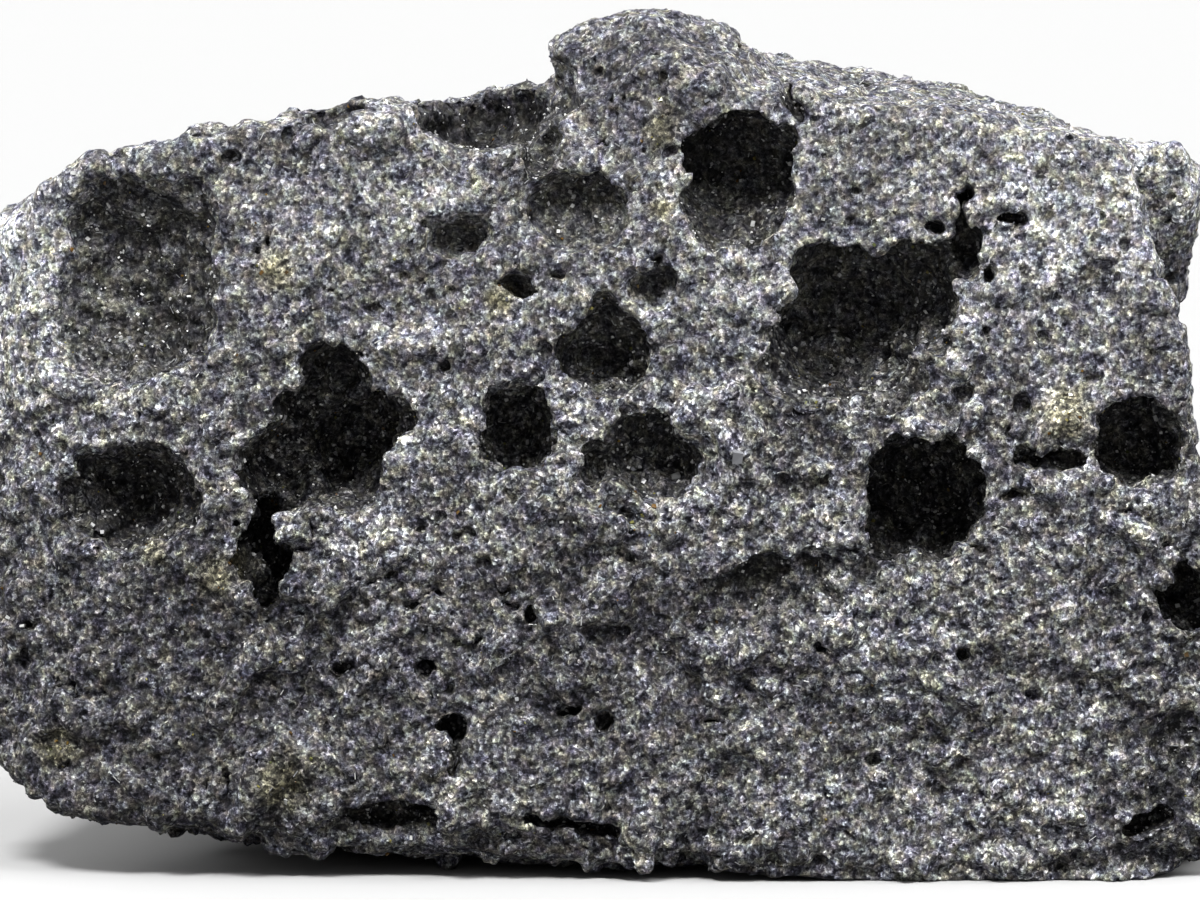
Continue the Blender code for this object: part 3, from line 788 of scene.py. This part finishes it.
BIG_CRYSTALS = (  # on the front face: across, up and length in mm
    (5.9, 30.5, 0.7), (10.2, 32.4, 0.9), (-5.6, 55.1, 0.5), (-3.2, 54.6, 0.45), (11.6, 49.5, 0.45),
    (13.7, 42.4, 0.5), (18.0, 41.3, 0.45), (-32.3, 24.8, 0.45), (27.2, 16.2, 0.5), (22.1, 45.9, 0.4),
)
BIG_CRYSTAL_SHAPE = (1.0, 0.7, 0.5)
BIG_OLIVINES = (
    (4.1, 28.5, 0.35), (2.4, 27.2, 0.3), (4.4, 59.0, 0.35), (24.4, 45.2, 0.3), (41.6, 21.1, 0.3),
    (43.4, 19.2, 0.3), (44.3, 17.3, 0.35), (24.9, 45.8, 0.25), (3.2, 27.9, 0.3), (-25.4, 46.0, 0.3),
)
BIG_OLIVINE_SHAPE = (1.0, 0.8, 0.6)
LOWEST = 0.6  # mm above the rest face, where the first of them stand
CRYSTAL_IOR = 1.56  # plagioclase's: olivine's 1.67 looks the same on grains this small
PRISM = np.array([(x, y, z) for x in (-0.5, 0.5) for y in (-0.5, 0.5) for z in (-0.5, 0.5)])
PRISM_FACES = np.array([
    (0, 1, 3, 2), (4, 6, 7, 5), (0, 4, 5, 1), (2, 3, 7, 6), (0, 2, 6, 4), (1, 5, 7, 3),
])
SEEDS = np.random.default_rng(19)


def unit(vectors):
    """The same directions with length one."""
    return vectors / np.linalg.norm(vectors, axis=1, keepdims=True)


corners = points[triangles]
facing = np.cross(corners[:, 1] - corners[:, 0], corners[:, 2] - corners[:, 0])
area = np.linalg.norm(facing, axis=1)
facing = unit(facing + 1e-12)  # so that a sliver has a direction too
wall = lining[triangles].mean(1)
clear = corners[:, :, 2].min(1) > LOWEST


def scattered(count, weight):
    """Spots on the stone and the directions out of it, more of them where the weight is high."""
    chance = area * weight * clear
    chosen = SEEDS.choice(len(triangles), count, p=chance / chance.sum())
    share = SEEDS.dirichlet((1.0, 1.0, 1.0), count)
    return (corners[chosen] * share[:, :, None]).sum(1), facing[chosen]


def at_marks(marks):
    """The same for marked places on the front face."""
    front = np.nonzero(points[:, 1] < FRONT)[0]
    chosen = []
    for x, z, size in marks:
        away = np.hypot(points[front, 0] - x, points[front, 2] - z)
        chosen.append(front[np.argmin(away)])
    return points[chosen], normals[chosen]


def between(low_high, count, rarity=1.0):
    """Random sizes, the large ones rarer than the small ones."""
    return low_high[0] + (low_high[1] - low_high[0]) * SEEDS.random(count) ** rarity


def crystals(name, spots, sizes, material, lean, uneven):
    """Prisms lying along the surface, leaning out of it and with uneven corners."""
    place, out = spots
    count = len(place)
    along = SEEDS.normal(size=(count, 3))
    along = unit(along - (along * out).sum(1)[:, None] * out)
    along = unit(along + out * SEEDS.uniform(-lean, lean, (count, 1)))
    across = unit(np.cross(out, along))
    turn = np.stack((along, across, np.cross(along, across)), -1)
    shape = PRISM * sizes[:, None, :] * (1 + uneven * SEEDS.uniform(-1, 1, (count, 8, 3)))
    corners = np.einsum("nij,nkj->nki", turn, shape) + place[:, None]
    faces = PRISM_FACES + 8 * np.arange(count)[:, None, None]
    mesh = bpy.data.meshes.new(name)
    mesh.from_pydata((corners.reshape(-1, 3) - FOOTPRINT_CENTRE) * MM, [], faces.reshape(-1, 4))
    shade = np.repeat(SEEDS.random(count), 8).astype(np.float32)
    mesh.attributes.new("shade", "FLOAT", "POINT").data.foreach_set("value", shade)
    mesh.materials.append(material)
    thing = bpy.data.objects.new(name, mesh)
    bpy.context.scene.collection.objects.link(thing)
    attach(thing, "root")
    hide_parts("basalt_stone")


def crystal_material(name, tones, roughness, specular):
    """One mineral, with its grains' tones spread evenly from the first to the last."""
    material = bpy.data.materials.new(name)
    material.use_nodes = True
    tree = material.node_tree
    tree.nodes.clear()
    shade = add(tree, "ShaderNodeAttribute", {"attribute_name": "shade"})
    ramp = add(tree, "ShaderNodeValToRGB", {}, {0: shade.outputs["Fac"]})
    ramp.color_ramp.elements[0].color = colour(tones[0])
    ramp.color_ramp.elements[1].color = colour(tones[-1])
    for number, tone in enumerate(tones[1:-1], 1):
        ramp.color_ramp.elements.new(number / (len(tones) - 1)).color = colour(tone)
    shader = add(tree, "ShaderNodeBsdfPrincipled",
                 {"IOR": CRYSTAL_IOR, "Roughness": roughness, "Specular IOR Level": specular},
                 {"Base Color": ramp.outputs[0]})
    add(tree, "ShaderNodeOutputMaterial", {}, {"Surface": shader.outputs[0]})
    return material


# broken grains: grey to nearly white, with a soft gleam
feldspar = crystal_material("plagioclase feldspar", ("#595b60", "#737479", "#8e8f90", "#c2c3c0"),
                            roughness=0.4, specular=0.35)
# the same mineral's flat cleavage faces: bright glints against the dark lining
cleavage = crystal_material("feldspar cleavage face", ("#6c6a66", "#98979a", "#c9c9c8", "#ececea"),
                            roughness=0.3, specular=0.5)
# glassy grains: rotted ones brown and amber, fresh ones bottle green, with a wet shine
olivine = crystal_material("olivine", ("#332710", "#6a4c1e", "#77733f", "#454f2e"),
                           roughness=0.2, specular=0.6)

everywhere = 1 + (LINING_SHARE - 1) * wall
length = between(LATH_LENGTH, LATHS, rarity=1.6)
width = between(LATH_WIDTH, LATHS)
crystals("feldspar_laths", scattered(LATHS, everywhere), np.stack((length, width, width), 1),
         feldspar, lean=0.5, uneven=0.15)

size = between(BLOCK_SIZE, BLOCKS, rarity=2.5)[:, None]
crystals("feldspar_blocks", scattered(BLOCKS, everywhere),
         size * SEEDS.uniform(*BLOCK_SHAPES, (BLOCKS, 3)), feldspar, lean=0.4, uneven=0.3)

size = between(OLIVINE_SIZE, OLIVINES, rarity=2.0)[:, None]
stained = stain[triangles].mean(1)
likely = OLIVINES_ANYWHERE + OLIVINES_ON_WALLS * wall + OLIVINES_IN_STAINS * stained
crystals("olivine_grains", scattered(OLIVINES, likely),
         size * SEEDS.uniform(*OLIVINE_SHAPES, (OLIVINES, 3)), olivine, lean=0.6, uneven=0.3)

size = between(GLINT_SIZE, GLINTS, rarity=2.0)[:, None]
crystals("wall_glints", scattered(GLINTS, wall),
         size * SEEDS.uniform(*GLINT_SHAPES, (GLINTS, 3)), cleavage, lean=0.9, uneven=0.3)

size = np.array(BIG_CRYSTALS)[:, 2:]
crystals("big_feldspars", at_marks(BIG_CRYSTALS), size * BIG_CRYSTAL_SHAPE,
         feldspar, lean=0.5, uneven=0.35)
size = np.array(BIG_OLIVINES)[:, 2:]
crystals("big_olivines", at_marks(BIG_OLIVINES), size * BIG_OLIVINE_SHAPE,
         olivine, lean=0.5, uneven=0.35)

# ---------------------------------------------------------------------------
# The stage. A sheet of pale paper under the stone, in a white room. The paper returns little
# light to the stone, as a small table would, so the pits of the break keep their shadows.
FLOOR = 45.0  # m, so that its far edge falls outside the view
FLOOR_SEEN = 0.45  # how pale the paper looks: the share of light that it returns to the eye
FLOOR_RETURNED = 0.18  # and to the stone
ROOM = "#ffffff"
ROOM_SEEN = 0.97  # how bright the room looks
ROOM_LIGHT = 0.2  # how brightly it lights the stone


def paper():
    """Matt, soft and without grain, so that nothing on it draws the eye from the stone."""
    material = bpy.data.materials.new("pale paper")
    material.use_nodes = True
    tree = material.node_tree
    tree.nodes.clear()
    seen = add(tree, "ShaderNodeBsdfDiffuse", {"Color": (FLOOR_SEEN,) * 3 + (1.0,)})
    returned = add(tree, "ShaderNodeBsdfDiffuse", {"Color": (FLOOR_RETURNED,) * 3 + (1.0,)})
    path = add(tree, "ShaderNodeLightPath")
    mix = add(tree, "ShaderNodeMixShader", {},
              {0: path.outputs["Is Camera Ray"], 1: returned.outputs[0], 2: seen.outputs[0]})
    add(tree, "ShaderNodeOutputMaterial", {}, {"Surface": mix.outputs[0]})
    return material


floor_mesh = bpy.data.meshes.new("floor")
reach = FLOOR / 2
floor_corners = [(-reach, -reach, 0), (reach, -reach, 0), (reach, reach, 0), (-reach, reach, 0)]
floor_mesh.from_pydata(floor_corners, [], [(0, 1, 2, 3)])
floor_mesh.materials.append(paper())
floor = bpy.data.objects.new("floor", floor_mesh)
bpy.context.scene.collection.objects.link(floor)

world = bpy.data.worlds.new("white room")
bpy.context.scene.world = world
world.use_nodes = True
room = world.node_tree
room.nodes.clear()
lit = add(room, "ShaderNodeBackground", {"Color": colour(ROOM), "Strength": ROOM_LIGHT})
seen = add(room, "ShaderNodeBackground", {"Color": colour(ROOM), "Strength": ROOM_SEEN})
path = add(room, "ShaderNodeLightPath")
mix = add(room, "ShaderNodeMixShader", {},
          {0: path.outputs["Is Camera Ray"], 1: lit.outputs[0], 2: seen.outputs[0]})
add(room, "ShaderNodeOutputWorld", {}, {"Surface": mix.outputs[0]})

# ---------------------------------------------------------------------------
# The light. A wide key high at the front and a little to the left, with a small lamp near
# the face to pick out its grains. Four weak, wide ones keep the flanks and the back readable.
AIM = Vector((0.0, -0.0295, 0.0329))  # m: the middle of the front face
# place in m, power, and width in m. A sun's place gives its direction, and its width is in radians.
LAMPS = (
    ("key", "SUN", (-0.28, -0.58, 0.93), 3.9, 0.25),
    ("left side", "SUN", (-1.0, -0.15, 0.5), 1.2, 0.6),
    ("right side", "SUN", (1.0, -0.15, 0.7), 1.6, 0.6),
    ("rear right", "SUN", (0.9, 0.5, 0.9), 1.2, 1.0),
    ("rear left", "SUN", (-0.9, 0.6, 0.9), 1.2, 1.0),
    ("near", "AREA", (0.10, -0.23, 0.32), 0.9, 0.14),
)

for name, kind, place, power, width in LAMPS:
    lamp = bpy.data.lights.new(name, kind)
    lamp.energy = power
    if kind == "SUN":
        lamp.angle = width
        towards = -Vector(place)
    else:
        lamp.size = width
        towards = AIM - Vector(place)
    thing = bpy.data.objects.new(name, lamp)
    bpy.context.scene.collection.objects.link(thing)
    thing.location = place
    thing.rotation_euler = towards.to_track_quat("-Z", "Y").to_euler()

# ---------------------------------------------------------------------------
# The camera. It stands a forearm's length from the front face and looks a little down on it.
# The view is a little narrower than the stone, whose ends run out of it.
DISTANCE = 0.40  # m
VIEW_WIDTH = 0.090  # m across the view, at the front face
RISE = math.radians(5.0)
SENSOR = 36.0  # mm
NEAREST = 0.01  # m
camera_data = bpy.data.cameras.new("camera")
camera_data.sensor_width = SENSOR
camera_data.lens = SENSOR * DISTANCE / VIEW_WIDTH
camera_data.clip_start = NEAREST
camera = bpy.data.objects.new("camera", camera_data)
bpy.context.scene.collection.objects.link(camera)
camera.location = AIM + Vector((0.0, -math.cos(RISE), math.sin(RISE))) * DISTANCE
camera.rotation_euler = (AIM - camera.location).to_track_quat("-Z", "Y").to_euler()
bpy.context.scene.camera = camera
bpy.context.scene.view_settings.view_transform = "Standard"  # colours as they are
